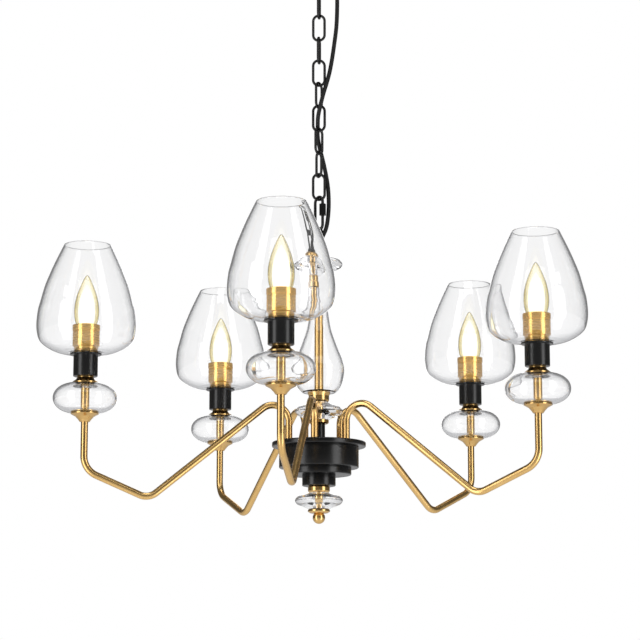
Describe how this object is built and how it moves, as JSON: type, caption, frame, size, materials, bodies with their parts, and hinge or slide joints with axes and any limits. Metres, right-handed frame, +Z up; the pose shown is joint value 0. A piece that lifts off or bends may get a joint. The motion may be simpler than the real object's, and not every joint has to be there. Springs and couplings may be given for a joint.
{
  "type": "multi arm chandelier",
  "caption": "Chain-hung chandelier: bent brass arms rise from a stepped black hub to open clear glass shades over candle bulbs, with clear glass balls and discs.",
  "frame": {"origin": "middle of the two ceiling screw holes, on the bracket's top face where it meets the ceiling", "axes": "+Z up into the ceiling; +X along the ceiling bracket and its two screw holes; the first arm points along -Y"},
  "size_m": [0.7668, 0.736, 0.8299],
  "materials": {
    "aged_brass": "brushed aged brass, satin",
    "satin_black": "satin charcoal black",
    "clear_glass": "clear blown glass",
    "plated_steel": "zinc plated",
    "lit_bulb": "clear candle bulb, warm light",
    "black_cable": "matt black flexible cable",
    "black_plastic": "moulded",
    "white_plastic": "moulded",
    "holder_plastic": "moulded thermoset",
    "wire_insulation": "thin wire insulation"
  },
  "bodies": {
    "ceiling_fitting": {"ceiling_bracket": "plated_steel", "threaded_nipple": "plated_steel", "canopy_loop": "satin_black", "terminal_block": "white_plastic", "cable_top": "black_cable"},
    "canopy": {"canopy": "satin_black", "canopy_cord_grip": "black_plastic"},
    "canopy_ring_nut": {"canopy_ring_nut": "satin_black"},
    "top_link": {"top_link": "satin_black"},
    "chandelier": {"chain_links": "satin_black", "cable_drop": "black_cable", "quick_link": "satin_black", "stem_eye": "satin_black", "stem_cap": "aged_brass", "upper_glass_disc": "clear_glass", "upper_collar": "aged_brass", "glass_vase": "clear_glass", "vase_collar": "aged_brass", "lower_glass_disc": "clear_glass", "disc_collar": "satin_black", "stem_tube": "aged_brass", "black_stem": "satin_black", "hub_plate": "satin_black", "hub_drum": "satin_black", "hub_step": "satin_black", "hub_cup": "satin_black", "centre_rod": "plated_steel", "hub_nuts": "plated_steel", "hub_connector": "white_plastic", "finial_upper_ring": "aged_brass", "arm_wires": "wire_insulation", "glass_balls": "clear_glass", "ball_cones": "aged_brass", "lamp_tubes": "aged_brass", "candle_cups": "satin_black", "lampholders": "holder_plastic", "arm_1": "aged_brass", "arm_2": "aged_brass", "arm_3": "aged_brass", "arm_4": "aged_brass", "arm_5": "aged_brass"},
    "quick_link_nut": {"quick_link_nut": "satin_black"},
    "finial_glass": {"finial_glass": "clear_glass", "finial_tube": "aged_brass"},
    "finial_ball": {"finial_ball": "aged_brass"},
    "glass_shade_1": {"glass_shade_1": "clear_glass"},
    "shade_ring_1": {"shade_ring_1": "aged_brass"},
    "bulb_1": {"bulb_1": "lit_bulb"},
    "glass_shade_2": {"glass_shade_2": "clear_glass"},
    "shade_ring_2": {"shade_ring_2": "aged_brass"},
    "bulb_2": {"bulb_2": "lit_bulb"},
    "glass_shade_3": {"glass_shade_3": "clear_glass"},
    "shade_ring_3": {"shade_ring_3": "aged_brass"},
    "bulb_3": {"bulb_3": "lit_bulb"},
    "glass_shade_4": {"glass_shade_4": "clear_glass"},
    "shade_ring_4": {"shade_ring_4": "aged_brass"},
    "bulb_4": {"bulb_4": "lit_bulb"},
    "glass_shade_5": {"glass_shade_5": "clear_glass"},
    "shade_ring_5": {"shade_ring_5": "aged_brass"},
    "bulb_5": {"bulb_5": "lit_bulb"}
  },
  "joints": [
    {"name": "swing_front_back", "type": "hinge", "parent": "ceiling_fitting", "child": "top_link", "pos_m": [0, 0, -0.056], "axis": [1, 0, 0], "range_deg": [-5, 5], "deforming": ["cable_top"]},
    {"name": "swing_side_to_side", "type": "hinge", "parent": "top_link", "child": "chandelier", "pos_m": [0, 0, -0.09], "axis": [0, 1, 0], "range_deg": [-5, 5], "deforming": ["cable_drop"]},
    {"name": "canopy_drop", "type": "slide", "parent": "ceiling_fitting", "child": "canopy", "axis": [0, 0, 1], "range_m": [-0.045, 0]},
    {"name": "ring_nut_drop", "type": "slide", "parent": "ceiling_fitting", "child": "canopy_ring_nut", "axis": [0, 0, 1], "range_m": [-0.045, 0]},
    {"name": "quick_link_nut_travel", "type": "slide", "parent": "chandelier", "child": "quick_link_nut", "axis": [0, 0, 1], "range_m": [-0.01, 0]},
    {"name": "finial_glass_drop", "type": "slide", "parent": "chandelier", "child": "finial_glass", "axis": [0, 0, 1], "range_m": [-0.012, 0]},
    {"name": "finial_ball_unscrew", "type": "slide", "parent": "chandelier", "child": "finial_ball", "axis": [0, 0, 1], "range_m": [-0.012, 0]},
    {"name": "shade_1_lift", "type": "slide", "parent": "chandelier", "child": "glass_shade_1", "axis": [0, 0, 1], "range_m": [0, 0.02]},
    {"name": "shade_ring_1_unscrew", "type": "slide", "parent": "chandelier", "child": "shade_ring_1", "axis": [0, 0, 1], "range_m": [0, 0.02]},
    {"name": "bulb_1_unscrew", "type": "slide", "parent": "chandelier", "child": "bulb_1", "axis": [0, 0, 1], "range_m": [0, 0.03]},
    {"name": "shade_2_lift", "type": "slide", "parent": "chandelier", "child": "glass_shade_2", "axis": [0, 0, 1], "range_m": [0, 0.02]},
    {"name": "shade_ring_2_unscrew", "type": "slide", "parent": "chandelier", "child": "shade_ring_2", "axis": [0, 0, 1], "range_m": [0, 0.02]},
    {"name": "bulb_2_unscrew", "type": "slide", "parent": "chandelier", "child": "bulb_2", "axis": [0, 0, 1], "range_m": [0, 0.03]},
    {"name": "shade_3_lift", "type": "slide", "parent": "chandelier", "child": "glass_shade_3", "axis": [0, 0, 1], "range_m": [0, 0.02]},
    {"name": "shade_ring_3_unscrew", "type": "slide", "parent": "chandelier", "child": "shade_ring_3", "axis": [0, 0, 1], "range_m": [0, 0.02]},
    {"name": "bulb_3_unscrew", "type": "slide", "parent": "chandelier", "child": "bulb_3", "axis": [0, 0, 1], "range_m": [0, 0.03]},
    {"name": "shade_4_lift", "type": "slide", "parent": "chandelier", "child": "glass_shade_4", "axis": [0, 0, 1], "range_m": [0, 0.02]},
    {"name": "shade_ring_4_unscrew", "type": "slide", "parent": "chandelier", "child": "shade_ring_4", "axis": [0, 0, 1], "range_m": [0, 0.02]},
    {"name": "bulb_4_unscrew", "type": "slide", "parent": "chandelier", "child": "bulb_4", "axis": [0, 0, 1], "range_m": [0, 0.03]},
    {"name": "shade_5_lift", "type": "slide", "parent": "chandelier", "child": "glass_shade_5", "axis": [0, 0, 1], "range_m": [0, 0.02]},
    {"name": "shade_ring_5_unscrew", "type": "slide", "parent": "chandelier", "child": "shade_ring_5", "axis": [0, 0, 1], "range_m": [0, 0.02]},
    {"name": "bulb_5_unscrew", "type": "slide", "parent": "chandelier", "child": "bulb_5", "axis": [0, 0, 1], "range_m": [0, 0.03]}
  ],
  "couplings": [
    {"joint": "ring_nut_drop", "follows": "canopy_drop", "ratio": 1},
    {"joint": "finial_ball_unscrew", "follows": "finial_glass_drop", "ratio": 1},
    {"joint": "shade_ring_1_unscrew", "follows": "shade_1_lift", "ratio": 1},
    {"joint": "shade_ring_2_unscrew", "follows": "shade_2_lift", "ratio": 1},
    {"joint": "shade_ring_3_unscrew", "follows": "shade_3_lift", "ratio": 1},
    {"joint": "shade_ring_4_unscrew", "follows": "shade_4_lift", "ratio": 1},
    {"joint": "shade_ring_5_unscrew", "follows": "shade_5_lift", "ratio": 1}
  ]
}
